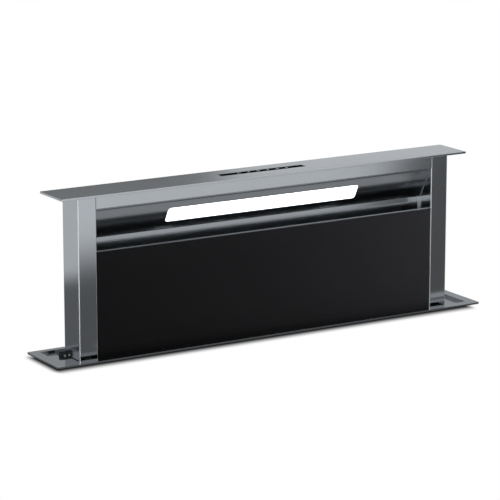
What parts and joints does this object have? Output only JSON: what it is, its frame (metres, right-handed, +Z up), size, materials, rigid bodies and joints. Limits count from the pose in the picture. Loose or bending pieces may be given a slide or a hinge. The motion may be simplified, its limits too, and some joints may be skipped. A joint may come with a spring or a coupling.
{
  "type": "downdraft vent",
  "caption": "Rising downdraft extractor: steel head with black glass front, light and touch strip lifts out of a worktop trim frame.",
  "frame": {"origin": "middle of the trim frame in plan, on the worktop's top surface", "axes": "+Z up out of the worktop, +X to the right as the cook sees the glass, +Y away from the cook"},
  "size_m": [0.985, 0.257, 1.026],
  "materials": {
    "brushed_steel": "brushed stainless sheet, satin",
    "galvanised_steel": "galvanised sheet, dull",
    "bright_steel": "turned or ground steel",
    "aluminium": "mill aluminium",
    "black_glass": "back-painted black glass, polished",
    "black_nylon": "moulded black nylon",
    "black_rubber": "closed-cell rubber",
    "black_paint": "black powder coat",
    "opal_acrylic": "opal acrylic diffuser",
    "white_paint": "white reflector paint",
    "green_board": "glass-epoxy circuit board",
    "grey_plastic": "moulded grey plastic"
  },
  "bodies": {
    "base": {"trim_frame": "brushed_steel", "frame_gasket": "black_rubber", "housing_front_panel": "galvanised_steel", "housing_rear_panel": "galvanised_steel", "housing_left_panel": "galvanised_steel", "housing_right_panel": "galvanised_steel", "housing_floor": "galvanised_steel", "left_clamp_bracket": "galvanised_steel", "right_clamp_bracket": "galvanised_steel", "fan_casing": "galvanised_steel", "left_clamp_screw": "bright_steel", "right_clamp_screw": "bright_steel", "lift_motor": "bright_steel", "fan_motor": "bright_steel", "flap_pin": "bright_steel", "left_guide_rail": "aluminium", "right_guide_rail": "aluminium", "left_front_guide_pad": "black_nylon", "left_rear_guide_pad": "black_nylon", "right_front_guide_pad": "black_nylon", "right_rear_guide_pad": "black_nylon", "left_shaft_bearing": "black_nylon", "right_shaft_bearing": "black_nylon", "gearbox": "black_nylon", "duct_collar": "black_nylon", "cable_gland": "black_nylon", "control_box": "black_paint", "control_box_lid": "black_paint", "fan_scroll": "black_paint", "control_board": "green_board"},
    "head": {"cap_plate": "brushed_steel", "touch_glass": "black_glass", "touch_board": "green_board", "left_column": "brushed_steel", "right_column": "brushed_steel", "fascia": "brushed_steel", "recess_plate": "brushed_steel", "light_diffuser": "opal_acrylic", "light_tray": "white_paint", "led_strip": "aluminium", "filter_rail": "galvanised_steel", "lower_crossbar": "galvanised_steel", "head_rear_wall": "brushed_steel", "left_grease_filter": "aluminium", "right_grease_filter": "aluminium", "left_rack": "bright_steel", "right_rack": "bright_steel", "left_guide_shoe": "black_nylon", "right_guide_shoe": "black_nylon", "harness_clip": "black_nylon", "left_hinge_pin": "bright_steel", "right_hinge_pin": "bright_steel"},
    "front_panel": {"front_glass": "black_glass", "panel_tray": "brushed_steel"},
    "drive": {"drive_shaft": "bright_steel", "left_pinion": "bright_steel", "right_pinion": "bright_steel"},
    "impeller": {"impeller": "black_nylon"},
    "left_flap": {"left_flap": "grey_plastic"},
    "right_flap": {"right_flap": "grey_plastic"}
  },
  "joints": [
    {"name": "lift", "type": "slide", "parent": "base", "child": "head", "axis": [0, 0, 1], "range_m": [-0.3, 0]},
    {"name": "panel_tilt", "type": "hinge", "parent": "head", "child": "front_panel", "pos_m": [0, -0.025, 0.006], "axis": [1, 0, 0], "range_deg": [0, 60]},
    {"name": "drive_spin", "type": "hinge", "parent": "base", "child": "drive", "pos_m": [0, 0.0347, -0.321], "axis": [1, 0, 0], "range_deg": [0, 2293]},
    {"name": "impeller_spin", "type": "hinge", "parent": "base", "child": "impeller", "pos_m": [-0.04, -0.11, -0.44], "axis": [0, 1, 0], "continuous": true},
    {"name": "left_flap_swing", "type": "hinge", "parent": "base", "child": "left_flap", "pos_m": [0.06522, -0.1035, -0.656], "axis": [0, -1, 0], "range_deg": [0, 75], "stiffness_Nm_per_rad": 0.05, "springref_deg": -20.05},
    {"name": "right_flap_swing", "type": "hinge", "parent": "base", "child": "right_flap", "pos_m": [0.06522, -0.1035, -0.656], "axis": [0, 1, 0], "range_deg": [0, 75], "stiffness_Nm_per_rad": 0.05, "springref_deg": -20.05}
  ],
  "couplings": [
    {"joint": "drive_spin", "follows": "lift", "rad_per_m": -133.33}
  ]
}
